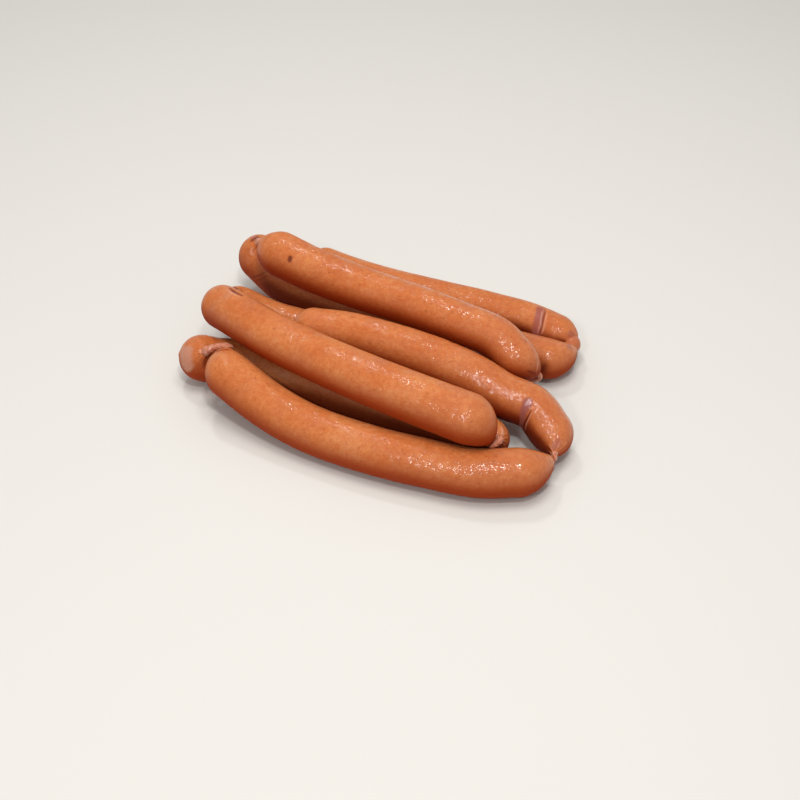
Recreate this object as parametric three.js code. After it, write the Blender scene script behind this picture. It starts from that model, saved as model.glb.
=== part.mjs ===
import * as THREE from 'three';
import { mergeVertices } from 'three/addons/utils/BufferGeometryUtils.js';

// A string of eight cooked sausage links, folded to and fro in two layers as it lies on a table.
// All eight are one length of filled natural casing, drawn in and twisted into a thin thread
// between one link and the next, so the whole string is one solid.
// Millimetres, +X along the links, +Z up, the origin on the table under the middle of the string.

// Driving dimensions
const THREAD_RADIUS = 1.3;
const TIP_HEIGHT = 0.3;
const TABLE = 0;

// How fine the faceted skin is
const SIDES = 18;
const BODY_RINGS = 21;
const CAP_RINGS = 6;
const THREAD_RINGS = 2;

// The shortest handle of a thread's curve, and the handle's share of the gap that the thread spans
const THREAD_HANDLE = 1.2;
const THREAD_HANDLE_SHARE = 0.42;

// The links in the order in which the casing runs through them. The girth is the radius at the
// link's start, middle and end. The lay is its centre line between the middles of its round ends:
// the links on the table have it about one radius up, and the others lie in the grooves between
// those below. The tips are the places where the casing is drawn in to the thread, before and
// after the link. A free end has none, and is simply round.
const LINKS = [
  {
    name: 'upper middle link, from its free end',
    girth: [11.0, 11.7, 10.9],
    lay: [
      [-34.6, -9.0, 27.5], [-16.1, -6.0, 28.4], [16.9, -5.5, 28.4], [49.4, -7.6, 26.5],
      [67.6, -8.7, 21.5], [82.4, -7.8, 18.0], [93.6, -13.4, 12.6],
    ],
    tips: [null, [100.3, -26.6, 12.0]],
  },
  {
    name: 'front link',
    girth: [11.8, 11.8, 11.8],
    lay: [
      [89.2, -44.9, 11.7], [72.9, -52.8, 11.6], [47.9, -57.2, 11.6], [22.9, -59.8, 11.6],
      [-10.6, -59.8, 12.2], [-35.6, -56.8, 16.0], [-58.1, -52.0, 22.0],
    ],
    tips: [[101.0, -29.9, 11.8], [-66.1, -37.7, 24.5]],
  },
  {
    name: 'lower link behind the front one',
    girth: [12.0, 11.2, 11.0],
    lay: [
      [-82.7, -37.9, 13.6], [-78.5, -34.6, 11.2], [-66.1, -31.0, 11.1], [-31.6, -30.2, 11.1],
      [1.4, -30.6, 11.1], [35.9, -30.3, 11.1], [66.4, -29.3, 11.1],
    ],
    tips: [[-76.4, -43.4, 24.5], [76.2, -36.5, 20.2]],
  },
  {
    name: 'upper front link',
    girth: [12.4, 11.9, 11.6],
    lay: [
      [62.1, -42.7, 33.2], [43.9, -42.5, 34.5], [17.4, -40.7, 35.3], [-14.6, -36.6, 35.5],
      [-48.1, -29.9, 35.2], [-67.1, -22.8, 33.7], [-82.1, -15.7, 30.2],
    ],
    tips: [[74.3, -41.7, 21.5], [-84.4, -1.6, 30.5]],
  },
  {
    name: 'lower middle link',
    girth: [11.2, 11.0, 10.8],
    lay: [
      [-84.9, 5.0, 14.3], [-68.1, 5.0, 11.3], [-45.1, 6.2, 11.0], [-12.6, 9.0, 11.0],
      [19.4, 12.5, 11.0], [46.9, 14.0, 11.0],
    ],
    tips: [[-84.8, 0.8, 27.4], [59.5, 14.4, 11.5]],
  },
  {
    name: 'upper back link',
    girth: [10.6, 11.0, 12.2],
    lay: [
      [64.5, 13.4, 27.5], [52.9, 17.4, 32.2], [34.9, 19.4, 33.4], [6.4, 22.6, 33.4],
      [-24.1, 24.1, 33.6], [-51.6, 25.7, 35.2], [-72.6, 28.5, 37.0],
    ],
    tips: [[74.9, 18.3, 16.5], [-87.6, 34.8, 35.8]],
  },
  {
    name: 'lower link before the back one',
    girth: [12.6, 11.2, 10.6],
    lay: [
      [-92.6, 40.5, 20.5], [-75.6, 36.6, 12.8], [-50.6, 33.4, 11.2], [-9.1, 34.3, 11.0],
      [30.9, 36.5, 11.0], [57.4, 36.7, 11.0], [73.4, 37.8, 11.0],
    ],
    tips: [[-91.2, 36.6, 34.4], [82.8, 52.7, 11.0]],
  },
  {
    name: 'back link, to its free end',
    girth: [10.4, 11.2, 10.8],
    lay: [
      [70.2, 58.8, 10.8], [54.9, 61.3, 11.0], [32.9, 60.8, 11.1], [-0.6, 58.0, 11.1],
      [-32.1, 57.0, 11.1], [-52.1, 58.2, 11.1], [-64.1, 59.8, 11.1],
    ],
    tips: [[82.4, 56.9, 11.0], null],
  },
];

const toVector = ([x, y, z]) => new THREE.Vector3(x, y, z);

// The girth at a share of the way along a link, between those that it is given
function girthAt(girth, along) {
  const place = along * (girth.length - 1);
  const step = Math.min(Math.floor(place), girth.length - 2);
  return THREE.MathUtils.lerp(girth[step], girth[step + 1], place - step);
}

// The rings of a link's end, from its last full ring out to the thread. They climb a ball about
// the middle of the end, and are drawn out more and more towards the tip, to which their planes
// turn. A free end's tip is where the ball's own rings come down to the thread.
function capRings(centre, axis, tip, radius) {
  const last = Math.acos(THREAD_RADIUS / radius);
  const ballHeight = radius * Math.sin(last);
  const towards = tip
    ? toVector(tip).sub(centre)
    : axis.clone().multiplyScalar(ballHeight);
  const reach = towards.length();
  const lean = axis.angleTo(towards);
  const hinge = new THREE.Vector3().crossVectors(axis, towards).normalize();
  const rings = [];
  for (let k = 1; k <= CAP_RINGS; k += 1) {
    const climb = (last * k) / CAP_RINGS;
    const normal = axis.clone().applyAxisAngle(hinge, (lean * k) / CAP_RINGS);
    const drawn = (1 - Math.cos(climb)) / (1 - Math.cos(last));
    const height = radius * Math.sin(climb) + (reach - ballHeight) * drawn;
    rings.push({
      centre: centre.clone().addScaledVector(normal, height),
      normal,
      radius: radius * Math.cos(climb),
    });
  }
  return rings;
}

// The rings of one link, from one thread to the other
function linkRings({ girth, lay, tips }) {
  const curve = new THREE.CatmullRomCurve3(lay.map(toVector));
  const body = [];
  for (let k = 0; k < BODY_RINGS; k += 1) {
    const along = k / (BODY_RINGS - 1);
    body.push({
      centre: curve.getPointAt(along),
      normal: curve.getTangentAt(along),
      radius: girthAt(girth, along),
    });
  }
  const first = body[0];
  const last = body[BODY_RINGS - 1];
  const outwards = first.normal.clone().negate();
  const startCap = capRings(first.centre, outwards, tips[0], first.radius).reverse();
  startCap.forEach((ring) => ring.normal.negate());
  return [...startCap, ...body, ...capRings(last.centre, last.normal, tips[1], last.radius)];
}

// The rings of the twisted thread that joins the last ring of one link to the first of the next
function threadRings(from, to) {
  const gap = from.centre.distanceTo(to.centre);
  const handle = Math.max(THREAD_HANDLE, THREAD_HANDLE_SHARE * gap);
  const curve = new THREE.CubicBezierCurve3(
    from.centre,
    from.centre.clone().addScaledVector(from.normal, handle),
    to.centre.clone().addScaledVector(to.normal, -handle),
    to.centre,
  );
  const rings = [];
  for (let k = 1; k <= THREAD_RINGS; k += 1) {
    const along = k / (THREAD_RINGS + 1);
    rings.push({ centre: curve.getPoint(along), normal: curve.getTangent(along), radius: THREAD_RADIUS });
  }
  return rings;
}

// The rings of the whole string
function stringRings() {
  const rings = [];
  LINKS.forEach((link) => {
    const next = linkRings(link);
    if (rings.length > 0) {
      rings.push(...threadRings(rings[rings.length - 1], next[0]));
    }
    rings.push(...next);
  });
  return rings;
}

// A straight turned skin with one row for each ring, and a point at both ends, which is then
// laid along the rings. Each ring's first side is carried on from the ring before, so that the
// skin doesn't twist. What would reach below the table is pressed flat on it.
function layAlong(rings) {
  const profile = [new THREE.Vector2(0, 0)];
  rings.forEach((ring, row) => profile.push(new THREE.Vector2(ring.radius, row + 1)));
  profile.push(new THREE.Vector2(0, rings.length + 1));
  const geometry = new THREE.LatheGeometry(profile, SIDES);

  const up = new THREE.Vector3(0, 0, 1);
  const rows = rings.map(({ centre, normal }) => {
    up.addScaledVector(normal, -up.dot(normal)).normalize();
    return { centre, along: normal, up: up.clone(), side: new THREE.Vector3().crossVectors(normal, up) };
  });
  const first = rows[0];
  const last = rows[rows.length - 1];
  const startTip = { ...first, centre: first.centre.clone().addScaledVector(first.along, -TIP_HEIGHT) };
  const endTip = { ...last, centre: last.centre.clone().addScaledVector(last.along, TIP_HEIGHT) };
  const frames = [startTip, ...rows, endTip];

  const position = geometry.attributes.position;
  const point = new THREE.Vector3();
  for (let k = 0; k < position.count; k += 1) {
    const frame = frames[Math.round(position.getY(k))];
    point.copy(frame.centre);
    point.addScaledVector(frame.side, position.getX(k));
    point.addScaledVector(frame.up, position.getZ(k));
    position.setXYZ(k, point.x, point.y, Math.max(point.z, TABLE));
  }
  return geometry;
}

// The same surface with its seam and tips merged, and without the empty triangles at the tips
function closed(geometry) {
  geometry.deleteAttribute('normal');
  geometry.deleteAttribute('uv');
  const merged = mergeVertices(geometry);
  const index = merged.index.array;
  const kept = [];
  for (let k = 0; k < index.length; k += 3) {
    const [a, b, c] = index.subarray(k, k + 3);
    if (a !== b && b !== c && c !== a) {
      kept.push(a, b, c);
    }
  }
  merged.setIndex(kept);
  merged.computeVertexNormals();
  return merged;
}

const casing = new THREE.MeshStandardMaterial({ color: 0xc9744b, roughness: 0.35, metalness: 0 });
const string = new THREE.Mesh(closed(layAlong(stringRings())), casing);
string.name = 'sausage_string';

const group = new THREE.Group();
group.add(string);

export default group;
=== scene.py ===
"""A string of eight cooked sausage links in natural casing, folded to and fro in two layers."""

import logging
import math
from dataclasses import dataclass
from enum import Enum

import bpy
import numpy as np
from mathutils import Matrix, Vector


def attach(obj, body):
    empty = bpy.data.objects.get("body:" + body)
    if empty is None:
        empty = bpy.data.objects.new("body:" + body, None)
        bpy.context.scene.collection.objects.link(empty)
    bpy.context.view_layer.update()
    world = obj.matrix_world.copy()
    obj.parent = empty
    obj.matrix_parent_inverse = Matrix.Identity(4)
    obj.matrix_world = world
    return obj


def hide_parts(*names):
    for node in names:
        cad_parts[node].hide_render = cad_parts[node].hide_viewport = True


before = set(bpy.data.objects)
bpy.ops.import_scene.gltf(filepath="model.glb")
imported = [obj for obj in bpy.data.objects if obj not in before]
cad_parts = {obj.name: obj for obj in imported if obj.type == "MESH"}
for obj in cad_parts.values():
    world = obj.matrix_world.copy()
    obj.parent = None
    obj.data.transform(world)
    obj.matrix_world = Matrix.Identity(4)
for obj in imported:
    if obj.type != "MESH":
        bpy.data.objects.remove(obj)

log = logging.getLogger("sausage_string")

MM = 0.001
BODY = "root"
NODE = "sausage_string"
UP = np.array([0.0, 0.0, 1.0])
TINY = 1e-9

Point = tuple[float, float, float]
Colour = tuple[float, float, float]
Socket = bpy.types.NodeSocket


def unit(vector: np.ndarray) -> np.ndarray:
    """Returns the vector at length one."""
    return vector / np.linalg.norm(vector)


def turned(vector: np.ndarray, hinge: np.ndarray, angle: float) -> np.ndarray:
    """Turns a vector about a hinge by the right-hand rule.

    Args:
        vector: What is turned.
        hinge: The unit vector that it turns about.
        angle: The turn in radians.

    Returns:
        The turned vector.
    """
    across = np.cross(hinge, vector)
    along = hinge * (vector @ hinge)
    return vector * math.cos(angle) + across * math.sin(angle) + along * (1 - math.cos(angle))


def smooth_step(low: float, high: float, value: np.ndarray) -> np.ndarray:
    """Rises smoothly from 0 at the low value to 1 at the high one, or falls if low is the greater.

    Args:
        low: Where the result is 0.
        high: Where the result is 1.
        value: The values.

    Returns:
        A number between 0 and 1 for each value.
    """
    share = np.clip((value - low) / (high - low), 0, 1)
    return share * share * (3 - 2 * share)


class Lay:
    """The smooth centre line of a link: a centripetal Catmull-Rom curve through its points."""

    STEPS = 600
    HEADING_REACH = 1.0

    def __init__(self, points: list[Point]) -> None:
        """Works out the curve and its length.

        Args:
            points: The places that the centre line passes, in millimetres.
        """
        self.curve = self._curve(np.array(points, float))
        steps = np.linalg.norm(np.diff(self.curve, axis=0), axis=1)
        self.run = np.concatenate([[0.0], np.cumsum(steps)])
        self.length = float(self.run[-1])

    def _curve(self, p: np.ndarray) -> np.ndarray:
        """Returns the curve's points, evenly spaced by parameter.

        Args:
            p: The places that the curve passes, one row each.

        Returns:
            The points of the curve, one row each.
        """
        spans = len(p) - 1
        ext = np.vstack([2 * p[0] - p[1], p, 2 * p[-1] - p[-2]])
        t = np.linspace(0, spans, self.STEPS + 1)
        i = np.minimum(t.astype(int), spans - 1)
        w = (t - i)[:, None]
        p0, p1, p2, p3 = ext[i], ext[i + 1], ext[i + 2], ext[i + 3]
        d0, d1, d2 = (
            np.sqrt(np.linalg.norm(b - a, axis=1))[:, None] for a, b in ((p0, p1), (p1, p2), (p2, p3))
        )
        m1 = ((p1 - p0) / d0 - (p2 - p0) / (d0 + d1) + (p2 - p1) / d1) * d1
        m2 = ((p2 - p1) / d1 - (p3 - p1) / (d1 + d2) + (p3 - p2) / d2) * d1
        bend = -3 * p1 + 3 * p2 - 2 * m1 - m2
        return p1 + m1 * w + bend * w**2 + (2 * p1 - 2 * p2 + m1 + m2) * w**3

    def at(self, run: float) -> np.ndarray:
        """Returns the point at a distance along the centre line."""
        return np.array([np.interp(run, self.run, self.curve[:, k]) for k in range(3)])

    def heading(self, run: float) -> np.ndarray:
        """Returns the unit direction of the centre line at a distance along it."""
        ahead = min(run + self.HEADING_REACH, self.length)
        return unit(self.at(ahead) - self.at(max(run - self.HEADING_REACH, 0)))


@dataclass
class Ring:
    """One ring of the casing. Its run is the distance along the link from where its lay starts."""

    centre: np.ndarray
    normal: np.ndarray
    radius: float
    run: float


@dataclass(frozen=True)
class Link:
    """One link, in millimetres.

    The girth is its radius at the start, middle and end. The lay is its centre line between the
    middles of its round ends. The tips are where the casing is drawn in before and after it, and
    a free end has none.
    """

    name: str
    girth: tuple[float, float, float]
    lay: list[Point]
    tips: tuple[Point | None, Point | None]


# The links in the order in which the casing runs through them
LINKS = [
    Link(
        "upper_middle_link",
        (11.0, 11.7, 10.9),
        [
            (-34.6, -9.0, 27.5), (-16.1, -6.0, 28.4), (16.9, -5.5, 28.4), (49.4, -7.6, 26.5),
            (67.6, -8.7, 21.5), (82.4, -7.8, 18.0), (93.6, -13.4, 12.6),
        ],
        (None, (100.3, -26.6, 12.0)),
    ),
    Link(
        "front_link",
        (11.8, 11.8, 11.8),
        [
            (89.2, -44.9, 11.7), (72.9, -52.8, 11.6), (47.9, -57.2, 11.6), (22.9, -59.8, 11.6),
            (-10.6, -59.8, 12.2), (-35.6, -56.8, 16.0), (-58.1, -52.0, 22.0),
        ],
        ((101.0, -29.9, 11.8), (-66.1, -37.7, 24.5)),
    ),
    Link(
        "lower_front_link",
        (12.0, 11.2, 11.0),
        [
            (-82.7, -37.9, 13.6), (-78.5, -34.6, 11.2), (-66.1, -31.0, 11.1), (-31.6, -30.2, 11.1),
            (1.4, -30.6, 11.1), (35.9, -30.3, 11.1), (66.4, -29.3, 11.1),
        ],
        ((-76.4, -43.4, 24.5), (76.2, -36.5, 20.2)),
    ),
    Link(
        "upper_front_link",
        (12.4, 11.9, 11.6),
        [
            (62.1, -42.7, 33.2), (43.9, -42.5, 34.5), (17.4, -40.7, 35.3), (-14.6, -36.6, 35.5),
            (-48.1, -29.9, 35.2), (-67.1, -22.8, 33.7), (-82.1, -15.7, 30.2),
        ],
        ((74.3, -41.7, 21.5), (-84.4, -1.6, 30.5)),
    ),
    Link(
        "lower_middle_link",
        (11.2, 11.0, 10.8),
        [
            (-84.9, 5.0, 14.3), (-68.1, 5.0, 11.3), (-45.1, 6.2, 11.0), (-12.6, 9.0, 11.0),
            (19.4, 12.5, 11.0), (46.9, 14.0, 11.0),
        ],
        ((-84.8, 0.8, 27.4), (59.5, 14.4, 11.5)),
    ),
    Link(
        "upper_back_link",
        (10.6, 11.0, 12.2),
        [
            (64.5, 13.4, 27.5), (52.9, 17.4, 32.2), (34.9, 19.4, 33.4), (6.4, 22.6, 33.4),
            (-24.1, 24.1, 33.6), (-51.6, 25.7, 35.2), (-72.6, 28.5, 37.0),
        ],
        ((74.9, 18.3, 16.5), (-87.6, 34.8, 35.8)),
    ),
    Link(
        "lower_back_link",
        (12.6, 11.2, 10.6),
        [
            (-92.6, 40.5, 20.5), (-75.6, 36.6, 12.8), (-50.6, 33.4, 11.2), (-9.1, 34.3, 11.0),
            (30.9, 36.5, 11.0), (57.4, 36.7, 11.0), (73.4, 37.8, 11.0),
        ],
        ((-91.2, 36.6, 34.4), (82.8, 52.7, 11.0)),
    ),
    Link(
        "back_link",
        (10.4, 11.2, 10.8),
        [
            (70.2, 58.8, 10.8), (54.9, 61.3, 11.0), (32.9, 60.8, 11.1), (-0.6, 58.0, 11.1),
            (-32.1, 57.0, 11.1), (-52.1, 58.2, 11.1), (-64.1, 59.8, 11.1),
        ],
        ((82.4, 56.9, 11.0), None),
    ),
]


class Mark(Enum):
    """What a mark on the casing is. Its value is the attribute that holds it."""

    UNSMOKED = "unsmoked"
    MAUVE = "mauve"
    SPOT = "spot"
    # Pale lips, scars and folds, and some painted highlights
    PALE = "pale"
    # Dark red dots and creases, and painted shade in slits and folds between links
    DEEP = "deep"


@dataclass(frozen=True)
class Stroke:
    """One mark on a link's casing, drawn along a short path, in millimetres.

    The path's places are a distance along the link and an angle round it in degrees, from its
    top. A raised stroke stands out from the skin, and a negative one is sunk into it. The edge is
    how far its border is softened to each side. A tapered stroke thins out at both of its ends.
    """

    mark: Mark
    path: list[tuple[float, float]]
    width: float
    raised: float = 0.0
    strength: float = 1.0
    edge: float = 0.4
    tapered: bool = True


# What shows on the casing, link by link; some deep and pale strokes are painted shade and highlights
STROKES = {
    "upper_back_link": [
        Stroke(Mark.SPOT, [(128.3, -66), (127.9, -72)], 2.4, -0.1, tapered=False),
        Stroke(Mark.DEEP, [(-8.1, -72), (-13.4, -61)], 1.2, -0.1, 0.8),
        Stroke(Mark.PALE, [(-9.5, -8), (-10.3, -25), (-12.5, -50)], 0.6, 0.1, 0.8),
        Stroke(Mark.DEEP, [(88.0, -62), (87.2, -66)], 0.8, 0.0, 0.5),
        Stroke(Mark.DEEP, [(46.0, -40), (45.5, -44)], 0.7, 0.0, 0.5),
    ],
    "back_link": [
        Stroke(Mark.MAUVE, [(10.9, 8), (8.8, -21), (7.6, -44), (6.6, -70)], 4.4, 0.0, 0.9, 0.8, False),
        Stroke(Mark.PALE, [(9.6, 12), (7.3, -21), (5.9, -44), (5.3, -69)], 0.7, 0.25, 0.5),
        Stroke(Mark.PALE, [(7.2, 12), (4.9, -21), (3.6, -44), (3.1, -69)], 0.7, 0.25, 0.6),
        Stroke(Mark.DEEP, [(8.4, 12), (6.1, -21), (4.8, -44), (4.2, -69)], 0.9, -0.4),
        Stroke(Mark.SPOT, [(10.4, -53), (9.8, -54)], 0.8, 0.0, 0.6),
        Stroke(Mark.MAUVE, [(-9.9, -6), (-12.3, -34)], 5.0, 0.0, 0.6, edge=1.6),
    ],
    "lower_back_link": [
        Stroke(Mark.MAUVE, [(182.5, 104), (178.9, 125)], 5.0, 0.0, 0.6, edge=1.6),
        Stroke(Mark.DEEP, [(5.2, -145), (8.1, -173), (10.1, -195)], 0.7, -0.3, 0.8),
        Stroke(Mark.DEEP, [(8.1, -150), (10.7, -172), (11.9, -193)], 0.6, -0.25, 0.6),
        # Painted shade: a dark band in the pinch where this tip meets the upper back link's tip
        Stroke(Mark.DEEP, [(-20.5, -102), (-20.5, -33), (-20.0, 27)], 2.5, 0.0, 0.8),
        # Painted highlight: a pale streak on the round end, slightly raised
        Stroke(Mark.PALE, [(-17.0, -178), (-4.0, -202)], 1.5, 0.1, 0.6, edge=0.8),
    ],
    "upper_middle_link": [
        Stroke(
            Mark.MAUVE, [(115.6, 40), (116.3, 67), (119.1, 91), (121.8, 119)], 5.4,
            -0.2, 1.0, 0.9, False,
        ),
        # A sunk fold line beside the mauve band, painted dark as the shade in the fold
        Stroke(Mark.DEEP, [(120.1, 50), (122.6, 77), (125.2, 108)], 1.2, -0.5),
        Stroke(Mark.PALE, [(121.4, 52), (123.9, 77), (126.5, 106)], 0.7, 0.3, 0.7),
        Stroke(Mark.MAUVE, [(142.8, 20), (149.4, 38)], 5.0, 0.0, 0.6, edge=1.4),
    ],
    "upper_front_link": [
        Stroke(Mark.PALE, [(91.5, -12), (91.9, -27), (90.4, -41)], 0.7, 0.12, 0.5),
        Stroke(Mark.SPOT, [(62.9, -91), (62.5, -94)], 0.9, 0.0, 0.6),
        Stroke(Mark.SPOT, [(-1.2, -20), (-1.6, -22)], 0.8, 0.0, 0.5),
        Stroke(Mark.SPOT, [(13.8, -95), (13.4, -97)], 0.8, 0.0, 0.5),
        # A sunk slit against the lower middle link's tip, painted dark as the shade in the gap
        Stroke(Mark.DEEP, [(146.1, 22), (139.1, 15), (132.2, 16)], 1.8, -0.6),
        Stroke(Mark.PALE, [(145.0, 8), (137.6, 1), (131.0, 3)], 0.8, 0.3, 0.6),
    ],
    "front_link": [
        Stroke(Mark.SPOT, [(136.9, -25), (136.5, -27)], 0.8, 0.0, 0.5),
        Stroke(Mark.SPOT, [(149.8, -45), (149.4, -47)], 0.8, 0.0, 0.5),
        # A sunk slit where this tip meets the lower front link's, painted dark as the shade in the gap
        Stroke(Mark.DEEP, [(163.7, -37), (163.8, -16), (162.9, 7), (160.0, 26)], 1.8, -0.4),
        Stroke(Mark.PALE, [(-19.0, -60), (-18.5, 0), (-19.0, 60)], 0.8, 0.15, 0.6),
    ],
    "lower_front_link": [
        Stroke(Mark.UNSMOKED, [(-14.6, -66), (-13.4, -104), (-11.0, -134)], 6.0, 0.0, 1.0, 1.2, False),
        Stroke(Mark.PALE, [(-9.2, -58), (-9.2, -71)], 2.4, 0.35, 0.6, edge=1.2),
        Stroke(Mark.PALE, [(-20.3, -50), (-20.8, -117)], 1.2, 0.3, 0.8),
        Stroke(Mark.PALE, [(-11.6, 88), (-7.0, 113)], 1.6, 0.5, 0.8),
        Stroke(Mark.SPOT, [(-13.2, 44), (-13.6, 44)], 0.8, 0.0, 0.5),
        # Painted highlight: a pale strip along the round end, slightly raised
        Stroke(Mark.PALE, [(163.5, 48), (170.5, 18)], 1.5, 0.2, 0.7, edge=0.8),
        Stroke(Mark.UNSMOKED, [(164.8, 160), (169.1, 212)], 5.0, 0.0, 0.8, edge=1.0),
    ],
}


@dataclass(frozen=True)
class Twist:
    """The twisted casing between two links, in millimetres.

    The flare is how much thicker it is at its ends, as a share, or thinner if it is below 0. The
    inset is how far it lies in between the two links, and the reach how far it runs on into them.
    A twist with an inset is a lobe of slack casing, which is finished as the links are.
    """

    radius: float
    flare: float
    folds: float = 0.05
    inset: float = 0.0
    reach: float = 0.0


# The twists in the order in which the casing runs through them
TWISTS = [
    Twist(1.2, 0.6),
    Twist(1.8, 0.4),
    Twist(1.7, 0.5),
    Twist(1.5, 0.7),
    Twist(1.3, 0.3, folds=0.1),
    Twist(1.5, 0.6),
    Twist(4.5, -0.6, folds=0.01, inset=2.5, reach=3.2),
]


class Carried(Enum):
    """The kinds of value that a mesh carries at its points."""

    NUMBER = "FLOAT"
    VECTOR = "FLOAT_VECTOR"


class Tree:
    """A short way to add nodes to a tree and to join them."""

    def __init__(self, tree: bpy.types.NodeTree) -> None:
        """Keeps the tree.

        Args:
            tree: The node tree that nodes are added to.
        """
        self.tree = tree

    def add(self, kind: str, inputs: dict | None = None, **settings: object) -> bpy.types.Node:
        """Adds a node, sets its settings and joins or fills its inputs.

        Args:
            kind: The node's type.
            inputs: What goes into each input, by name or number: a socket or a plain value.
            settings: The node's own settings.

        Returns:
            The node.
        """
        node = self.tree.nodes.new(kind)
        for name, value in settings.items():
            setattr(node, name, value)
        for name, value in (inputs or {}).items():
            if isinstance(value, Socket):
                self.tree.links.new(value, node.inputs[name])
            else:
                node.inputs[name].default_value = value
        return node

    def math(self, operation: str, *values: object, clamp: bool = False) -> Socket:
        """Returns the result of a sum on numbers or sockets."""
        node = self.add("ShaderNodeMath", dict(enumerate(values)), operation=operation, use_clamp=clamp)
        return node.outputs[0]

    def vector(self, operation: str, *values: object) -> Socket:
        """Returns the result of a sum on vectors."""
        node = self.add("ShaderNodeVectorMath", dict(enumerate(values)), operation=operation)
        return node.outputs[0]

    def scaled(self, vector: Socket, factor: Socket) -> Socket:
        """Returns a vector times a number."""
        given = {"Vector": vector, "Scale": factor}
        return self.add("ShaderNodeVectorMath", given, operation="SCALE").outputs[0]

    def parts(self, vector: Socket) -> tuple[Socket, Socket, Socket]:
        """Returns the three parts of a vector."""
        return tuple(self.add("ShaderNodeSeparateXYZ", {0: vector}).outputs)

    def joined(self, x: object, y: object, z: object = 0.0) -> Socket:
        """Returns a vector made of three sockets or numbers."""
        return self.add("ShaderNodeCombineXYZ", {"X": x, "Y": y, "Z": z}).outputs[0]

    def noise(self, place: Socket, scale: float, detail: float = 2.0) -> Socket:
        """Returns a noise between 0 and 1."""
        given = {"Vector": place, "Scale": scale, "Detail": detail}
        return self.add("ShaderNodeTexNoise", given).outputs["Fac"]

    def bump(self, height: Socket, strength: float, depth: float) -> Socket:
        """Returns the normal of a surface with a fine relief."""
        given = {"Height": height, "Strength": strength, "Distance": depth}
        return self.add("ShaderNodeBump", given).outputs["Normal"]

    def position(self) -> Socket:
        """Returns the place of a mesh's point, for a geometry tree."""
        return self.add("GeometryNodeInputPosition").outputs[0]

    def carried(self, name: str, kind: Carried) -> Socket:
        """Returns what a mesh carries at its points, for a geometry tree."""
        node = self.add("GeometryNodeInputNamedAttribute", {"Name": name}, data_type=kind.value)
        return node.outputs[0]

    def sampled(self, mesh: Socket, value: Socket, kind: Carried, index: Socket) -> Socket:
        """Reads a value at one of a mesh's points.

        Args:
            mesh: The mesh.
            value: What is read there.
            kind: The kind of value.
            index: Which of the points it is.

        Returns:
            The value.
        """
        given = {"Geometry": mesh, "Value": value, "Index": index}
        node = self.add("GeometryNodeSampleIndex", given, data_type=kind.value, domain="POINT", clamp=True)
        return node.outputs["Value"]

    def kept(self, shape: Socket, name: str, kind: Carried, value: Socket) -> Socket:
        """Gives a shape's points a value that the finished mesh keeps.

        Args:
            shape: The shape.
            name: The value's name.
            kind: The kind of value.
            value: The value.

        Returns:
            The shape with the value.
        """
        given = {"Geometry": shape, "Name": name, "Value": value}
        node = self.add("GeometryNodeStoreNamedAttribute", given, data_type=kind.value, domain="POINT")
        return node.outputs[0]

    def finish(self, shape: Socket, material: Socket, result: bpy.types.Node) -> bpy.types.NodeTree:
        """Ends a geometry tree: makes its instances real and gives the shape its material.

        Args:
            shape: The finished shape.
            material: The material.
            result: The tree's output node.

        Returns:
            The tree.
        """
        shape = self.add("GeometryNodeRealizeInstances", {"Geometry": shape}).outputs[0]
        given = {"Geometry": shape, "Material": material}
        self.tree.links.new(self.add("GeometryNodeSetMaterial", given).outputs[0], result.inputs[0])
        return self.tree

    def attribute(self, name: str) -> Socket:
        """Returns a number that the mesh carries, for a shader tree."""
        return self.add("ShaderNodeAttribute", attribute_name=name).outputs["Fac"]

    def blend(self, share: Socket, colour: Socket, tint: Colour) -> Socket:
        """Mixes a plain tint into a colour.

        Args:
            share: How much of the tint there is, from 0 to 1.
            colour: The colour beneath.
            tint: The plain tint.

        Returns:
            The mixed colour.
        """
        node = self.add("ShaderNodeMixRGB", {"Fac": share, "Color1": colour, "Color2": (*tint, 1)})
        return node.outputs["Color"]

    def ramp(self, share: Socket, stops: list[tuple[float, Colour]]) -> Socket:
        """Returns a colour from a scale of colours.

        Args:
            share: The place on the scale.
            stops: The places and their colours, in order.

        Returns:
            The colour.
        """
        node = self.add("ShaderNodeValToRGB", {"Fac": share})
        elements = node.color_ramp.elements
        while len(elements) < len(stops):
            elements.new(0.5)
        for element, (position, colour) in zip(elements, stops):
            element.position = position
            element.color = (*colour, 1)
        return node.outputs["Color"]


def geometry_tree(name: str, inputs: dict[str, str]) -> tuple[Tree, bpy.types.Node, bpy.types.Node]:
    """Starts a Geometry Nodes tree with named inputs.

    Args:
        name: The tree's name.
        inputs: The socket type of each input, by name.

    Returns:
        The tree, its input node and its output node.
    """
    group = bpy.data.node_groups.new(name, "GeometryNodeTree")
    group.interface.new_socket("Geometry", in_out="INPUT", socket_type="NodeSocketGeometry")
    for label, kind in inputs.items():
        group.interface.new_socket(label, in_out="INPUT", socket_type=kind)
    group.interface.new_socket("Geometry", in_out="OUTPUT", socket_type="NodeSocketGeometry")
    tree = Tree(group)
    return tree, tree.add("NodeGroupInput"), tree.add("NodeGroupOutput")


def shader_tree(name: str) -> tuple[bpy.types.Material, Tree, Socket]:
    """Starts a material with an empty node tree.

    Args:
        name: The material's name.

    Returns:
        The material, its tree, and the place on the object in metres.
    """
    material = bpy.data.materials.new(name)
    material.use_nodes = True
    material.node_tree.nodes.clear()
    tree = Tree(material.node_tree)
    return material, tree, tree.add("ShaderNodeTexCoord").outputs["Object"]


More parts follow.
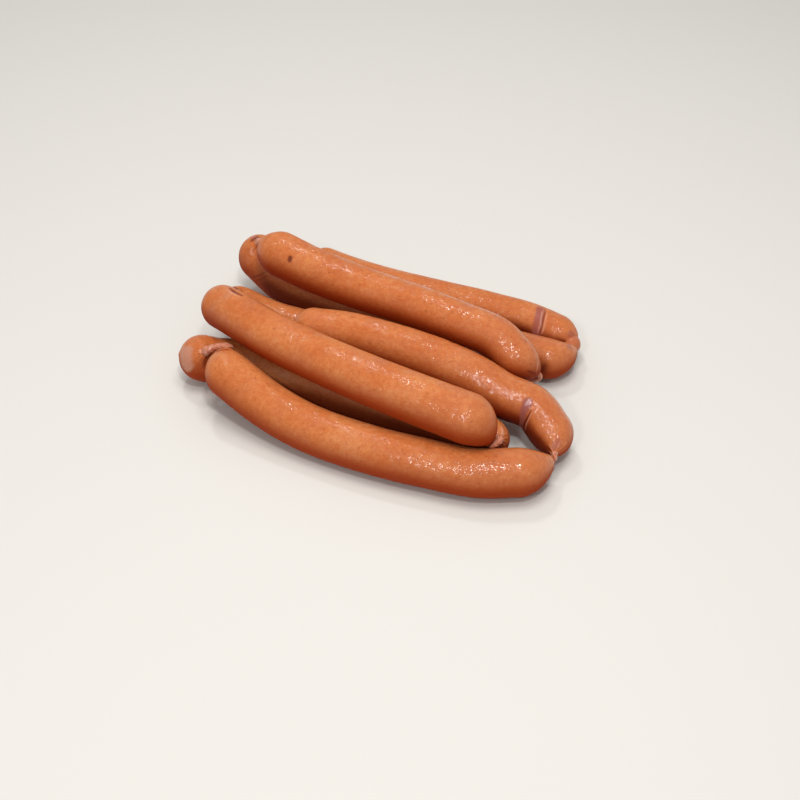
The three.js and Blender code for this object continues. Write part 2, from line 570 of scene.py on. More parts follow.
def grown(
    name: str,
    seedling: bpy.types.Object,
    group: bpy.types.NodeTree,
    values: dict[str, object],
) -> bpy.types.Object:
    """Runs a Geometry Nodes tree on an object and keeps the result as a plain mesh.

    Args:
        name: The new piece's name.
        seedling: The object that the tree starts from, which is removed.
        group: The Geometry Nodes tree.
        values: The tree's inputs, by name.

    Returns:
        The new piece.
    """
    modifier = seedling.modifiers.new("grow", "NODES")
    modifier.node_group = group
    for item in group.interface.items_tree:
        if item.item_type == "SOCKET" and item.in_out == "INPUT" and item.name in values:
            modifier[item.identifier] = values[item.name]
    seedling.update_tag()
    graph = bpy.context.evaluated_depsgraph_get()
    graph.update()
    mesh = bpy.data.meshes.new_from_object(seedling.evaluated_get(graph), depsgraph=graph)
    old = seedling.data
    bpy.data.objects.remove(seedling)
    bpy.data.meshes.remove(old)
    mesh.name = name
    piece = bpy.data.objects.new(name, mesh)
    bpy.context.scene.collection.objects.link(piece)
    return piece


def floats(mesh: bpy.types.Mesh, name: str) -> np.ndarray:
    """Reads a number that each of the mesh's points carries.

    Args:
        mesh: The mesh.
        name: The number's name.

    Returns:
        The numbers, one for each point.
    """
    values = np.zeros(len(mesh.vertices), np.float32)
    mesh.attributes[name].data.foreach_get("value", values)
    return values


def vectors(items: bpy.types.bpy_prop_collection, name: str) -> np.ndarray:
    """Reads a vector of each of a mesh's points.

    Args:
        items: The mesh's points or normals.
        name: The vector's name.

    Returns:
        The vectors, one row each.
    """
    values = np.zeros(3 * len(items), np.float32)
    items.foreach_get(name, values)
    return values.reshape(-1, 3)


def store(mesh: bpy.types.Mesh, name: str, values: np.ndarray) -> None:
    """Gives each of the mesh's points a number."""
    flat = np.asarray(values, np.float32)
    mesh.attributes.new(name, "FLOAT", "POINT").data.foreach_set("value", flat)


@dataclass(frozen=True)
class CasingFinish:
    """Moist natural casing over cooked, smoked meat.

    The depths are in metres, and a scale is about how many patches of its kind there are to the
    metre. A contrast and a cut turn a noise into separate patches. The wetness is the right start
    in the middle and grows by the right gain for each metre to the right. The back loss and start
    dry the back link in the same way.
    """

    deep: Colour = (0.46, 0.112, 0.028)
    warm: Colour = (0.53, 0.153, 0.043)
    light: Colour = (0.60, 0.215, 0.073)
    # Painted shade on the parts of the skin that face down
    underside_shade: Colour = (0.31, 0.036, 0.002)
    # Painted shade deep between the links
    crevice_shade: Colour = (0.13, 0.009, 0.001)
    unsmoked: Colour = (0.50, 0.22, 0.14)
    mauve: Colour = (0.32, 0.085, 0.062)
    # Pale marks, and some painted highlights
    pale: Colour = (0.70, 0.34, 0.22)
    # Dark red marks, and painted shade in the slits and folds between links
    dark_red_and_gap_shade: Colour = (0.17, 0.018, 0.006)
    spot: Colour = (0.19, 0.034, 0.012)
    fleck: Colour = (0.22, 0.030, 0.006)

    tone_places: tuple[float, float, float] = (0.36, 0.50, 0.64)
    broad_scale: float = 42.0
    broad_share: float = 0.35
    mottle_scale: float = 420.0
    mottle_detail: float = 3.0
    mottle_share: float = 0.35
    speck_scale: float = 1500.0
    speck_share: float = 0.30
    crevice_shade_power: float = 1.8
    crevice_shade_share: float = 0.85
    fleck_scale: float = 640.0
    fleck_contrast: float = 14.0
    fleck_cut: float = -10.4
    fleck_share: float = 0.30
    raggedness: float = 0.6

    grain_scale: float = 520.0
    fine_scale: float = 2400.0
    fine_share: float = 0.10
    grain_strength: float = 0.3
    grain_depth: float = 0.0005

    streak_stretch: Point = (0.28, 0.9, 0.9)
    bead_scale: float = 420.0
    bead_share: float = 1.6
    film_depth: float = 0.00028

    right_gain: float = 10.0
    right_start: float = 0.08
    back_loss: float = -30.0
    back_start: float = 2.2
    patch_scale: float = 120.0
    patch_contrast: float = 3.5
    patch_cut: float = -1.45
    under_dryness: float = 1.5

    roughness: float = 0.45
    damp_scale: float = 170.0
    damp_spread: float = 0.24
    under_roughness: float = 0.3
    refraction: float = 1.42
    gloss: float = 0.2
    clearness: float = 0.25
    scatter: Colour = (1.0, 0.30, 0.12)
    depth: float = 0.0015
    coat_roughness: float = 0.12
    coat_refraction: float = 1.45

    def _colour(self, t: Tree, place: Socket) -> Socket:
        """Makes the smoked colour with its mottling and marks, and painted shade below and between links.

        Args:
            t: The material's tree.
            place: The place on the object.

        Returns:
            The colour.
        """
        broad = t.noise(place, self.broad_scale)
        mottle = t.noise(place, self.mottle_scale, self.mottle_detail)
        speck = t.noise(place, self.speck_scale)
        tone = t.math("MULTIPLY", broad, self.broad_share)
        tone = t.math("MULTIPLY_ADD", mottle, self.mottle_share, tone)
        tone = t.math("MULTIPLY_ADD", speck, self.speck_share, tone)
        colour = t.ramp(tone, list(zip(self.tone_places, (self.deep, self.warm, self.light))))
        # Painted shade: parts of the skin that face down are darkened and reddened
        colour = t.blend(t.attribute("under"), colour, self.underside_shade)
        # Painted shade where the other links close the skin off
        deepest_shade = t.math("POWER", t.attribute("sheltered"), self.crevice_shade_power)
        colour = t.blend(t.math("MULTIPLY", deepest_shade, self.crevice_shade_share), colour, self.crevice_shade)
        fine = t.noise(place, self.fleck_scale, 0.0)
        flecks = t.math("MULTIPLY_ADD", fine, self.fleck_contrast, self.fleck_cut, clamp=True)
        colour = t.blend(t.math("MULTIPLY", flecks, self.fleck_share), colour, self.fleck)
        # The deep tint is partly painted shade in slits and folds, and the pale tint partly painted
        # highlights
        tints = (
            (Mark.UNSMOKED, self.unsmoked),
            (Mark.MAUVE, self.mauve),
            (Mark.PALE, self.pale),
            (Mark.DEEP, self.dark_red_and_gap_shade),
            (Mark.SPOT, self.spot),
        )
        ragged = t.math("SUBTRACT", mottle, 0.5)
        for mark, tint in tints:
            mask = t.attribute(mark.value)
            torn = t.math("MULTIPLY", ragged, mask)
            share = t.math("MULTIPLY_ADD", torn, self.raggedness, mask, clamp=True)
            colour = t.blend(share, colour, tint)
        return colour

    def _grain(self, t: Tree, place: Socket) -> Socket:
        """Makes the fine grain of the meat that shows through the casing.

        Args:
            t: The material's tree.
            place: The place on the object.

        Returns:
            The normal.
        """
        fine = t.noise(place, self.fine_scale)
        height = t.math("MULTIPLY_ADD", fine, self.fine_share, t.noise(place, self.grain_scale))
        return t.bump(height, self.grain_strength, self.grain_depth)

    def _film(self, t: Tree, place: Socket) -> Socket:
        """Makes the slight relief of the wet film, long along the links, which breaks up its gloss.

        Args:
            t: The material's tree.
            place: The place on the object.

        Returns:
            The normal.
        """
        skin = t.add("ShaderNodeAttribute", attribute_name="skin").outputs["Vector"]
        streaks = t.noise(t.vector("MULTIPLY", skin, self.streak_stretch), 1.0)
        beads = t.noise(place, self.bead_scale, 1.0)
        return t.bump(t.math("MULTIPLY_ADD", beads, self.bead_share, streaks), 1.0, self.film_depth)

    def _wetness(self, t: Tree, place: Socket) -> Socket:
        """Makes the wetness, which is patchy and grows towards the right ends.

        The back link, the undersides and what lies deep between the links are drier.

        Args:
            t: The material's tree.
            place: The place on the object.

        Returns:
            The weight of the clear coat.
        """
        along, across, _ = t.parts(place)
        right = t.math("MULTIPLY_ADD", along, self.right_gain, self.right_start, clamp=True)
        front = t.math("MULTIPLY_ADD", across, self.back_loss, self.back_start, clamp=True)
        damp = t.noise(place, self.patch_scale)
        patches = t.math("MULTIPLY_ADD", damp, self.patch_contrast, self.patch_cut)
        wet = t.math("MULTIPLY", t.math("ADD", right, patches, clamp=True), front)
        hidden = t.math("MULTIPLY_ADD", t.attribute("under"), self.under_dryness, t.attribute("sheltered"))
        return t.math("MULTIPLY", wet, t.math("SUBTRACT", 1.0, hidden, clamp=True))

    def material(self) -> bpy.types.Material:
        """Makes the casing's material.

        Returns:
            The material.
        """
        material, t, place = shader_tree("smoked_casing")
        damp = t.noise(place, self.damp_scale)
        rough = t.math("MULTIPLY_ADD", damp, self.damp_spread, self.roughness - self.damp_spread / 2)
        rough = t.math("MULTIPLY_ADD", t.attribute("under"), self.under_roughness, rough, clamp=True)
        shader = t.add(
            "ShaderNodeBsdfPrincipled",
            {
                "Base Color": self._colour(t, place),
                "Roughness": rough,
                "IOR": self.refraction,
                "Specular IOR Level": self.gloss,
                "Subsurface Weight": self.clearness,
                "Subsurface Radius": self.scatter,
                "Subsurface Scale": self.depth,
                "Coat Weight": self._wetness(t, place),
                "Coat Roughness": self.coat_roughness,
                "Coat IOR": self.coat_refraction,
                "Normal": self._grain(t, place),
                "Coat Normal": self._film(t, place),
            },
        )
        t.add("ShaderNodeOutputMaterial", {"Surface": shader.outputs["BSDF"]})
        return material


@dataclass(frozen=True)
class ThreadFinish:
    """Bare casing, twisted: pale, pinkish and half clear. The depths are in metres."""

    pale: Colour = (0.58, 0.25, 0.15)
    flesh: Colour = (0.46, 0.13, 0.06)
    streak_places: tuple[float, float] = (0.35, 0.65)
    streak_scale: float = 700.0
    streak_detail: float = 3.0
    streak_strength: float = 0.2
    streak_depth: float = 0.0003
    roughness: float = 0.32
    refraction: float = 1.42
    clearness: float = 0.35
    scatter: Colour = (1.0, 0.4, 0.25)
    depth: float = 0.0012
    wetness: float = 0.6
    coat_roughness: float = 0.1

    def material(self) -> bpy.types.Material:
        """Makes the thread's material.

        Returns:
            The material.
        """
        material, t, place = shader_tree("twisted_casing")
        streak = t.noise(place, self.streak_scale, self.streak_detail)
        shader = t.add(
            "ShaderNodeBsdfPrincipled",
            {
                "Base Color": t.ramp(streak, list(zip(self.streak_places, (self.flesh, self.pale)))),
                "Roughness": self.roughness,
                "IOR": self.refraction,
                "Subsurface Weight": self.clearness,
                "Subsurface Radius": self.scatter,
                "Subsurface Scale": self.depth,
                "Coat Weight": self.wetness,
                "Coat Roughness": self.coat_roughness,
                "Normal": t.bump(streak, self.streak_strength, self.streak_depth),
            },
        )
        t.add("ShaderNodeOutputMaterial", {"Surface": shader.outputs["BSDF"]})
        return material


@dataclass
class CasingString:
    """The whole string: its links' skins and the twisted threads between them.

    The sizes are in millimetres. The skins are drawn in by the shrink, so that their relief stays
    inside the solid's box. A scale is about how many bumps of its kind there are to the metre.
    The under and facing pairs are upward parts of a skin's normal, and the under pair places the
    painted shade on undersides. The high and low heights and the open and closed sums say where
    the other links leave a skin light and where painted shade darkens it.
    """

    thread_radius: float = 1.3
    handle: float = 1.2
    handle_share: float = 0.42
    shrink: float = 0.3

    sides: int = 128
    ring_step: float = 0.55
    cap_rings: int = 44

    seed: int = 7
    lump_scale: float = 48.0
    lump_depth: float = 0.35
    ripple_scale: float = 260.0
    ripple_detail: float = 3.0
    ripple_depth: float = 0.12
    full_radius: float = 8.0
    pleats: float = 11.0
    pleat_depth: float = 0.3
    pleat_reach: float = 3.5
    pleat_start: float = 1.5
    wander_scale: float = 160.0
    wander_turn: float = 5.0

    under_high: float = 0.75
    under_low: float = -0.25
    ball_every: int = 6
    open_skin: float = 2.0
    closed_skin: float = 5.0
    high_up: float = 34.0
    low_down: float = 14.0
    facing_up: float = 0.95
    facing_aside: float = 0.2
    stroke_end: float = 0.02

    path_points: int = 25
    thread_rows: int = 60
    thread_sides: int = 40
    strands: float = 5.0
    turn_length: float = 9.0
    lobe_mauve: float = 0.35
    nub_length: float = 2.4
    nub_flare: float = 0.5
    nub_folds: float = 0.1
    nub_turns: float = 0.4

    def __post_init__(self) -> None:
        """Makes the materials and the trees that all the pieces share."""
        self.casing = CasingFinish().material()
        self.twisted = ThreadFinish().material()
        self.skin_tree = self._skin_tree()
        self.thread_tree = self._thread_tree()

    def _cap(self, body_end: Ring, outwards: float, tip: Point | None) -> list[Ring]:
        """Makes the rings of a link's end, which is a ball drawn out towards its tip.

        Args:
            body_end: The link's last full ring.
            outwards: 1 at the link's end, or -1 at its start.
            tip: The place that the casing is drawn in to, or None at a free end.

        Returns:
            The rings, from the one next to the full ring to the one at the thread.
        """
        centre, axis, radius = body_end.centre, body_end.normal * outwards, body_end.radius
        last = math.acos(self.thread_radius / radius)
        ball = radius * math.sin(last)
        towards = np.array(tip) - centre if tip else axis * ball
        reach = float(np.linalg.norm(towards))
        lean = math.acos(float(np.clip(axis @ towards / reach, -1, 1)))
        hinge = unit(np.cross(axis, towards)) if tip else UP
        rings = []
        before = body_end
        for k in range(1, self.cap_rings + 1):
            climb = last * k / self.cap_rings
            normal = turned(axis, hinge, lean * k / self.cap_rings)
            drawn = (1 - math.cos(climb)) / (1 - math.cos(last))
            middle = centre + normal * (radius * math.sin(climb) + (reach - ball) * drawn)
            girth = radius * math.cos(climb)
            step = math.hypot(float(np.linalg.norm(middle - before.centre)), girth - before.radius)
            before = Ring(middle, normal * outwards, girth, before.run + step * outwards)
            rings.append(before)
        return rings

    def rings(self, link: Link) -> list[Ring]:
        """Makes the rings of one link, from one thread to the other.

        Args:
            link: The link.

        Returns:
            The rings, with their distance along the link's skin.
        """
        lay = Lay(link.lay)
        girth = [radius - self.shrink for radius in link.girth]
        body = []
        for share in np.linspace(0, 1, round(lay.length / self.ring_step)):
            run = share * lay.length
            radius = float(np.interp(share, [0, 0.5, 1], girth))
            body.append(Ring(lay.at(run), lay.heading(run), radius, run))
        start = self._cap(body[0], -1.0, link.tips[0])
        end = self._cap(body[-1], 1.0, link.tips[1])
        return start[::-1] + body + end

    def _ring_points(self, name: str, rings: list[Ring]) -> bpy.types.Object:
        """Puts rings into a mesh of loose points that carry each ring's frame.

        Args:
            name: The link's name.
            rings: The link's rings.

        Returns:
            The object with the points.
        """
        mesh = bpy.data.meshes.new(f"{name}_rings")
        mesh.from_pydata([tuple(ring.centre * MM) for ring in rings], [], [])
        ups, sides = [], []
        up = UP
        for ring in rings:
            up = unit(up - ring.normal * (up @ ring.normal))
            ups.append(up)
            sides.append(np.cross(ring.normal, up))
        first, last = rings[0].run, rings[-1].run
        store(mesh, "ring_radius", [ring.radius for ring in rings])
        store(mesh, "ring_run", [ring.run for ring in rings])
        store(mesh, "ring_tip", [min(ring.run - first, last - ring.run) for ring in rings])
        for label, spokes in (("ring_up", ups), ("ring_side", sides)):
            flat = np.array(spokes, np.float32).ravel()
            mesh.attributes.new(label, "FLOAT_VECTOR", "POINT").data.foreach_set("vector", flat)
        points = bpy.data.objects.new(f"{name}_rings", mesh)
        bpy.context.scene.collection.objects.link(points)
        return points

    def _skin_tree(self) -> bpy.types.NodeTree:
        """Makes the tree that lays a skin over a link's rings, with its lumps, ripples and pleats.

        Returns:
            The Geometry Nodes tree.
        """
        t, given, result = geometry_tree(
            "Casing skin",
            {
                "Sides": "NodeSocketInt",
                "Lump Depth": "NodeSocketFloat",
                "Ripple Depth": "NodeSocketFloat",
                "Pleats": "NodeSocketFloat",
                "Pleat Depth": "NodeSocketFloat",
                "Pleat Reach": "NodeSocketFloat",
                "Seed": "NodeSocketFloat",
                "Floor": "NodeSocketFloat",
                "Casing": "NodeSocketMaterial",
            },
        )
        get = given.outputs
        rings = get["Geometry"]

        # A plain cylinder, with a row of points for each ring
        size = t.add("GeometryNodeAttributeDomainSize", {"Geometry": rings}, component="MESH")
        rows = t.math("SUBTRACT", size.outputs["Point Count"], 1.0)
        shape = t.add(
            "GeometryNodeMeshCylinder",
            {"Vertices": get["Sides"], "Side Segments": rows, "Radius": 1.0, "Depth": rows},
            fill_type="TRIANGLE_FAN",
        ).outputs["Mesh"]
        x, y, z = t.parts(t.position())
        row = t.math("ROUND", t.math("MULTIPLY_ADD", rows, 0.5, z))
        angle = t.math("ARCTAN2", y, x)

        def of_ring(name: str, kind: Carried) -> Socket:
            """Returns what the ring of a point's own row carries."""
            return t.sampled(rings, t.carried(name, kind), kind, row)

        centre = t.sampled(rings, t.position(), Carried.VECTOR, row)
        up = of_ring("ring_up", Carried.VECTOR)
        side = of_ring("ring_side", Carried.VECTOR)
        radius = of_ring("ring_radius", Carried.NUMBER)
        run = of_ring("ring_run", Carried.NUMBER)
        tip = of_ring("ring_tip", Carried.NUMBER)

        # Each row goes to its ring, with its relief, and nothing of it goes below the floor
        spoke = t.vector("ADD", t.scaled(up, x), t.scaled(side, y))
        plain = t.vector("ADD", centre, t.scaled(spoke, t.math("MULTIPLY", radius, MM)))
        height = self._relief(t, get, plain, radius, tip, angle)
        reach = t.math("MULTIPLY", t.math("ADD", radius, height), MM)
        across, along, upwards = t.parts(t.vector("ADD", centre, t.scaled(spoke, reach)))
        laid = t.joined(across, along, t.math("MAXIMUM", upwards, get["Floor"]))

        # The marks and the wet film read these on the finished skin
        straight = t.joined(run, t.math("MULTIPLY", radius, x), t.math("MULTIPLY", radius, y))
        shape = t.kept(shape, "run", Carried.NUMBER, run)
        shape = t.kept(shape, "girth", Carried.NUMBER, radius)
        shape = t.kept(shape, "around", Carried.NUMBER, angle)
        shape = t.kept(shape, "skin", Carried.VECTOR, straight)
        shape = t.add("GeometryNodeSetPosition", {"Geometry": shape, "Position": laid}).outputs[0]
        return t.finish(shape, get["Casing"], result)

    def _relief(
        self,
        t: Tree,
        get: bpy.types.bpy_prop_collection,
        plain: Socket,
        radius: Socket,
        tip: Socket,
        angle: Socket,
    ) -> Socket:
        """Makes the relief of a skin: lumps and ripples where it is full, and pleats near its tips.

        Args:
            t: The skin's tree.
            get: The tree's own inputs.
            plain: The place on the plain skin.
            radius: The radius of the point's ring.
            tip: How far the ring is from the nearer tip.
            angle: The point's angle round the ring.

        Returns:
            The height in millimetres.
        """
        seeded = t.vector("ADD", plain, t.joined(get["Seed"], get["Seed"]))

        def uneven(scale: float, detail: float = 2.0) -> Socket:
            """Returns a noise between about -0.5 and 0.5 over the plain skin."""
            return t.math("SUBTRACT", t.noise(seeded, scale, detail), 0.5)

        full = t.math("MINIMUM", t.math("DIVIDE", radius, self.full_radius), 1.0)
        lumps = t.math("MULTIPLY", uneven(self.lump_scale), get["Lump Depth"])
        ripples = t.math("MULTIPLY", uneven(self.ripple_scale, self.ripple_detail), get["Ripple Depth"])
        wander = t.math("MULTIPLY", uneven(self.wander_scale), self.wander_turn)
        wave = t.math("COSINE", t.math("MULTIPLY_ADD", angle, get["Pleats"], wander))
        fade = t.math("EXPONENT", t.math("DIVIDE", t.math("MULTIPLY", tip, -1.0), get["Pleat Reach"]))
        begun = t.math("MINIMUM", t.math("DIVIDE", tip, self.pleat_start), 1.0)
        sunk = t.math("MULTIPLY", t.math("SUBTRACT", wave, 1.0), t.math("MULTIPLY", fade, begun))
        folds = t.math("MULTIPLY", sunk, get["Pleat Depth"])
        return t.math("ADD", t.math("MULTIPLY", t.math("ADD", lumps, ripples), full), folds)

    def _thread_tree(self) -> bpy.types.NodeTree:
        """Makes the tree that turns a path into a thread of pleated, twisted casing.

        Returns:
            The Geometry Nodes tree.
        """
        t, given, result = geometry_tree(
            "Twisted thread",
            {
                "Rows": "NodeSocketInt",
                "Radius": "NodeSocketFloat",
                "Flare": "NodeSocketFloat",
                "Strands": "NodeSocketFloat",
                "Strand Depth": "NodeSocketFloat",
                "Turns": "NodeSocketFloat",
                "Casing": "NodeSocketMaterial",
            },
        )
        get = given.outputs
        path = t.add("GeometryNodeMeshToCurve", {"Mesh": get["Geometry"]}).outputs[0]
        path = t.add("GeometryNodeResampleCurve", {"Curve": path, "Count": get["Rows"]}).outputs[0]
        along = t.add("GeometryNodeSplineParameter").outputs["Factor"]
        middle = t.math("ABSOLUTE", t.math("MULTIPLY_ADD", along, 2.0, -1.0))
        swell = t.math("MULTIPLY", t.math("POWER", middle, 2.0), get["Flare"])
        radius = t.math("MULTIPLY", get["Radius"], t.math("ADD", swell, 1.0))
        turn = t.math("MULTIPLY", t.math("MULTIPLY", along, get["Turns"]), 2 * math.pi)
        path = t.add("GeometryNodeSetCurveTilt", {"Curve": path, "Tilt": turn}).outputs[0]
        circle = {"Resolution": self.thread_sides, "Radius": 1.0}
        ring = t.add("GeometryNodeCurvePrimitiveCircle", circle).outputs["Curve"]
        spot = t.position()
        across, upwards, _ = t.parts(spot)
        angle = t.math("ARCTAN2", upwards, across)
        lobe = t.math("COSINE", t.math("MULTIPLY", angle, get["Strands"]))
        lobe = t.math("MULTIPLY_ADD", t.math("SUBTRACT", lobe, 1.0), get["Strand Depth"], 1.0)
        folded = {"Geometry": ring, "Position": t.scaled(spot, lobe)}
        ring = t.add("GeometryNodeSetPosition", folded).outputs[0]
        sweep = {"Curve": path, "Profile Curve": ring, "Scale": radius, "Fill Caps": True}
        tube = t.add("GeometryNodeCurveToMesh", sweep).outputs[0]
        return t.finish(tube, get["Casing"], result)

    def skin(self, index: int) -> bpy.types.Object:
        """Makes one link's skin.

        Args:
            index: The link's place in the string.

        Returns:
            The piece.
        """
        link = LINKS[index]
        piece = grown(
            link.name,
            self._ring_points(link.name, self.rings(link)),
            self.skin_tree,
            {
                "Sides": self.sides,
                "Lump Depth": self.lump_depth,
                "Ripple Depth": self.ripple_depth,
                "Pleats": self.pleats,
                "Pleat Depth": self.pleat_depth,
                "Pleat Reach": self.pleat_reach,
                "Seed": float(self.seed * (index + 1)),
                "Floor": 0.0,
                "Casing": self.casing,
            },
        )
        self._shade(piece)
        self._mark(piece)
        self._settle(piece)
        return piece

    def _share(self, mesh: bpy.types.Mesh, stroke: Stroke) -> np.ndarray:
        """Works out how much of a stroke lies on each point of a skin.

        Args:
            mesh: The link's skin, with its run, girth and around attributes.
            stroke: The stroke.

        Returns:
            A number from 0 to 1 for each point.
        """
        run, girth, around = (floats(mesh, name) for name in ("run", "girth", "around"))
        places = [(place, math.radians(angle)) for place, angle in stroke.path]
        share = np.zeros(len(run))
        pieces = len(places) - 1
        for k, ((run_a, angle_a), (run_b, angle_b)) in enumerate(zip(places, places[1:])):
            off = np.angle(np.exp(1j * (around - angle_a)))
            point = np.stack([run - run_a, off * girth])
            line = np.stack([np.full(len(run), run_b - run_a), (angle_b - angle_a) * girth])
            part = np.clip((point * line).sum(0) / np.maximum((line * line).sum(0), TINY), 0, 1)
            apart = np.linalg.norm(point - line * part, axis=0)
            whole = 2 * (k + part) / pieces - 1
            half = stroke.width / 2
            if stroke.tapered:
                half = half * np.sqrt(np.clip(1 - whole * whole, self.stroke_end, 1))
            share = np.maximum(share, smooth_step(stroke.edge, -stroke.edge, apart - half))
        return share

    def _mark(self, piece: bpy.types.Object) -> None:
        """Draws the strokes on a link's skin: their relief, and how strongly each mark shows.

        Args:
            piece: The link's skin.
        """
        mesh = piece.data
        masks = {mark: np.zeros(len(mesh.vertices)) for mark in Mark}
        rise = np.zeros(len(mesh.vertices))
        for stroke in STROKES.get(piece.name, []):
            share = self._share(mesh, stroke)
            masks[stroke.mark] = np.maximum(masks[stroke.mark], share * stroke.strength)
            rise += share * stroke.raised * MM
        for mark, values in masks.items():
            store(mesh, mark.value, values)
        outwards = vectors(mesh.vertex_normals, "vector") * rise.astype(np.float32)[:, None]
        mesh.vertices.foreach_set("co", (vectors(mesh.vertices, "co") + outwards).ravel())

    def _shade(self, piece: bpy.types.Object) -> None:
        """Stores how far skin points face down and are closed off by other links, for painted shade.

        Args:
            piece: The link's skin.
        """
        mesh = piece.data
        normals = vectors(mesh.vertex_normals, "vector")
        points = vectors(mesh.vertices, "co") / MM
        store(mesh, "under", smooth_step(self.under_high, self.under_low, normals[:, 2]))
        store(mesh, "sheltered", self._sheltered(piece.name, points, normals))

    def _sheltered(self, name: str, points: np.ndarray, normals: np.ndarray) -> np.ndarray:
        """Works out how far the other links close off each point of a skin, for its painted shade.

        Each of the others counts as a row of balls, and a ball closes off more the nearer it is
        and the more the skin faces it. Only what lies low and doesn't face up gets the painted shade.

        Args:
            name: The link's name.
            points: The skin's points, in millimetres.
            normals: The skin's normals.

        Returns:
            A number for each point, from 0 in the open to 1 deep between the links.
        """
        closed = np.zeros(len(points))
        for link in LINKS:
            balls = self.rings(link)[:: self.ball_every] if link.name != name else []
            for ball in balls:
                away = ball.centre - points
                apart = np.maximum(np.linalg.norm(away, axis=1), ball.radius)
                facing = np.maximum((away * normals).sum(1) / apart, 0)
                closed += facing * (ball.radius / apart) ** 2
        low = smooth_step(self.high_up, self.low_down, points[:, 2])
        steep = smooth_step(self.facing_up, self.facing_aside, normals[:, 2])
        return smooth_step(self.open_skin, self.closed_skin, closed) * low * steep

    def _settle(self, piece: bpy.types.Object) -> None:
        """Smooths a finished piece's shading, ties it to the string's body and hides its imported solid.

        Args:
            piece: The finished piece.
        """
        piece.data.shade_smooth()
        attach(piece, BODY)
        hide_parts(NODE)

    def thread(self, index: int) -> bpy.types.Object:
        """Makes the twisted thread between one link and the next.

        Args:
            index: The place in the string of the link before the thread.

        Returns:
            The piece.
        """
        start, end = self.rings(LINKS[index])[-1], self.rings(LINKS[index + 1])[0]
        gap = float(np.linalg.norm(end.centre - start.centre))
        handle = max(self.handle, self.handle_share * gap)
        twist = TWISTS[index]
        middles = np.array(LINKS[index].lay[-1]) + np.array(LINKS[index + 1].lay[0])
        inwards = unit(middles - start.centre - end.centre) * twist.inset
        corners = [
            start.centre - start.normal * twist.reach + inwards,
            start.centre + start.normal * handle + inwards,
            end.centre - end.normal * handle + inwards,
            end.centre + end.normal * twist.reach + inwards,
        ]
        finish = self.casing if twist.inset else self.twisted
        piece = self._twisted(f"twist_{index + 1}", corners, twist, gap / self.turn_length, finish)
        store(piece.data, Mark.MAUVE.value, np.full(len(piece.data.vertices), self.lobe_mauve))
        return piece

    def nub(self, name: str, ring: Ring, outwards: float) -> bpy.types.Object:
        """Makes the short nub of twisted casing that closes a free end.

        Args:
            name: The piece's name.
            ring: The link's outermost ring.
            outwards: 1 at the link's end, or -1 at its start.

        Returns:
            The piece.
        """
        step = ring.normal * outwards * self.nub_length / 3
        corners = [ring.centre + step * k for k in (-1, 0, 1, 2)]
        twist = Twist(self.thread_radius, self.nub_flare, self.nub_folds)
        return self._twisted(name, corners, twist, self.nub_turns, self.twisted)

    def _twisted(
        self,
        name: str,
        corners: list[np.ndarray],
        twist: Twist,
        turns: float,
        finish: bpy.types.Material,
    ) -> bpy.types.Object:
        """Makes a piece of twisted casing along a smooth curve.

        Args:
            name: The piece's name.
            corners: The four places that steer the curve, in millimetres.
            twist: How thick the piece is.
            turns: How often the casing turns round.
            finish: Its material.

        Returns:
            The piece.
        """
        share = np.linspace(0, 1, self.path_points)[:, None]
        left = 1 - share
        weights = [left**3, 3 * share * left**2, 3 * share**2 * left, share**3]
        path = sum(weight * corner for weight, corner in zip(weights, corners)) * MM
        mesh = bpy.data.meshes.new(f"{name}_path")
        mesh.from_pydata([tuple(p) for p in path], [(k, k + 1) for k in range(len(path) - 1)], [])
        seedling = bpy.data.objects.new(f"{name}_path", mesh)
        bpy.context.scene.collection.objects.link(seedling)
        piece = grown(
            name,
            seedling,
            self.thread_tree,
            {
                "Rows": self.thread_rows,
                "Radius": twist.radius * MM,
                "Flare": twist.flare,
                "Strands": self.strands,
                "Strand Depth": twist.folds,
                "Turns": turns,
                "Casing": finish,
            },
        )
        self._settle(piece)
        return piece

    def build(self) -> None:
        """Makes every link, the twists between them and the nubs at the two free ends."""
        pieces = [self.skin(index) for index in range(len(LINKS))]
        pieces += [self.thread(index) for index in range(len(TWISTS))]
        pieces.append(self.nub("first_nub", self.rings(LINKS[0])[0], -1.0))
        pieces.append(self.nub("last_nub", self.rings(LINKS[-1])[-1], 1.0))
        for piece in pieces:
            log.info("%s: %d faces", piece.name, len(piece.data.polygons))


@dataclass(frozen=True)
class Lamp:
    """A soft square lamp. Its sizes are in metres and its power is in watts."""

    name: str
    place: Point
    size: float
    power: float
    colour: Colour = (1.0, 1.0, 1.0)
    mirrored: bool = True


# The ceiling's light is broad, and isn't mirrored in the wet film as the windows are
LAMPS = [
    Lamp("ceiling", (0.05, -0.05, 1.0), 0.45, 4.7, (1.0, 0.98, 0.95), mirrored=False),
    Lamp("window", (0.25, -0.36, 0.87), 0.09, 2.1),
    Lamp("front_window", (0.06, -0.73, 0.69), 0.09, 1.4),
    Lamp("back_window", (-0.36, 0.32, 0.9), 0.10, 1.5),
]


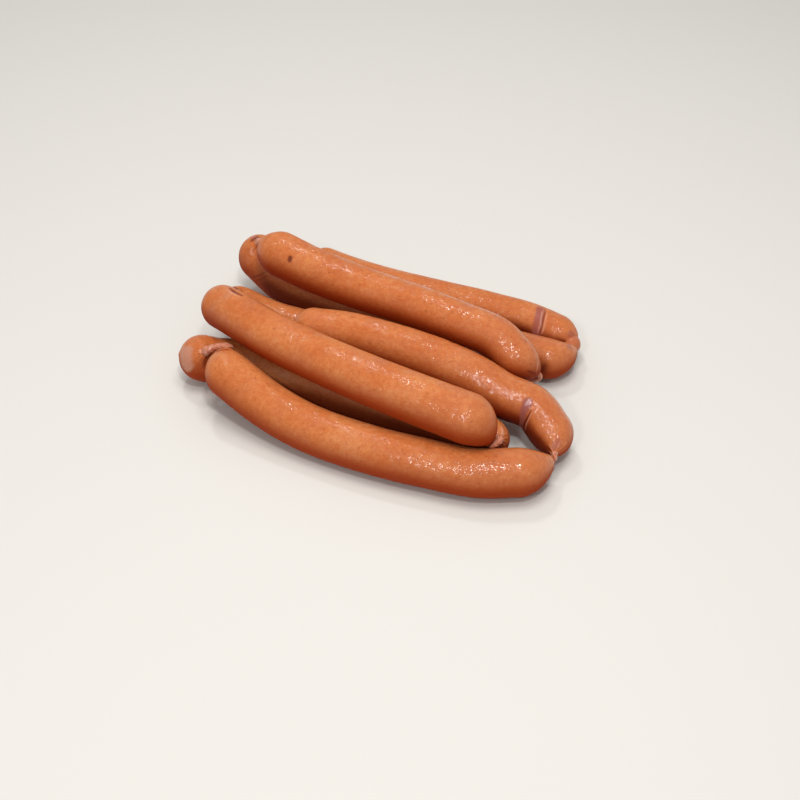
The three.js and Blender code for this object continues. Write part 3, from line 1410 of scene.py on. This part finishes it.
@dataclass
class Studio:
    """The pale floor, the soft lights and the camera. The sizes are in metres."""

    azimuth: float = 25.0
    elevation: float = 42.0
    distance: float = 0.65
    target: Point = (0.0139, -0.0110, 0.0)
    focal_pixels: float = 1300.0
    picture_pixels: int = 800
    sensor_mm: float = 36.0
    nearest: float = 0.01

    floor_size: float = 14.0
    floor_gap: float = 0.00005
    floor_colour: Colour = (0.68, 0.66, 0.62)
    floor_roughness: float = 0.75

    room_colour: Colour = (1.0, 1.0, 1.0)
    room_light: float = 0.45

    def _back(self) -> Vector:
        """Returns the direction from the target to the camera."""
        a, e = math.radians(self.azimuth), math.radians(self.elevation)
        return Vector((math.sin(a) * math.cos(e), -math.cos(a) * math.cos(e), math.sin(e)))

    def camera(self) -> None:
        """Places the camera at the photo's viewing angle."""
        data = bpy.data.cameras.new("camera")
        data.sensor_width = self.sensor_mm
        data.lens = self.sensor_mm * self.focal_pixels / self.picture_pixels
        data.clip_start = self.nearest
        camera = bpy.data.objects.new("camera", data)
        back = self._back()
        camera.location = Vector(self.target) + back * self.distance
        camera.rotation_mode = "QUATERNION"
        camera.rotation_quaternion = (-back).to_track_quat("-Z", "Y")
        bpy.context.scene.collection.objects.link(camera)
        bpy.context.scene.camera = camera

    def floor(self) -> None:
        """Lays the plain pale floor."""
        half = self.floor_size / 2
        mesh = bpy.data.meshes.new("floor")
        corners = [(-half, -half, 0), (half, -half, 0), (half, half, 0), (-half, half, 0)]
        mesh.from_pydata(corners, [], [(0, 1, 2, 3)])
        material = bpy.data.materials.new("pale_floor")
        material.use_nodes = True
        shader = material.node_tree.nodes["Principled BSDF"]
        shader.inputs["Base Color"].default_value = (*self.floor_colour, 1)
        shader.inputs["Roughness"].default_value = self.floor_roughness
        mesh.materials.append(material)
        floor = bpy.data.objects.new("floor", mesh)
        floor.location.z = -self.floor_gap
        bpy.context.scene.collection.objects.link(floor)

    def hang(self, lamp: Lamp) -> None:
        """Hangs a lamp so that it faces the string.

        Args:
            lamp: The lamp.
        """
        data = bpy.data.lights.new(lamp.name, "AREA")
        data.shape = "SQUARE"
        data.size = lamp.size
        data.energy = lamp.power
        data.color = lamp.colour
        light = bpy.data.objects.new(lamp.name, data)
        light.location = lamp.place
        light.rotation_mode = "QUATERNION"
        light.rotation_quaternion = (Vector(self.target) - Vector(lamp.place)).to_track_quat("-Z", "Y")
        light.visible_glossy = lamp.mirrored
        bpy.context.scene.collection.objects.link(light)

    def lights(self) -> None:
        """Sets the room's even light and hangs the lamps."""
        world = bpy.data.worlds.new("room")
        world.use_nodes = True
        background = world.node_tree.nodes["Background"]
        background.inputs["Color"].default_value = (*self.room_colour, 1)
        background.inputs["Strength"].default_value = self.room_light
        bpy.context.scene.world = world
        for lamp in LAMPS:
            self.hang(lamp)

    def build(self) -> None:
        """Makes the whole studio."""
        bpy.context.scene.view_settings.view_transform = "Standard"
        self.camera()
        self.floor()
        self.lights()
        log.info("studio ready")


def main() -> None:
    """Builds the studio and the string, and reports each piece."""
    logging.basicConfig(level=logging.INFO, format="%(name)s: %(message)s")
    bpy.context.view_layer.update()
    Studio().build()
    CasingString().build()


if __name__ == "__main__":
    main()
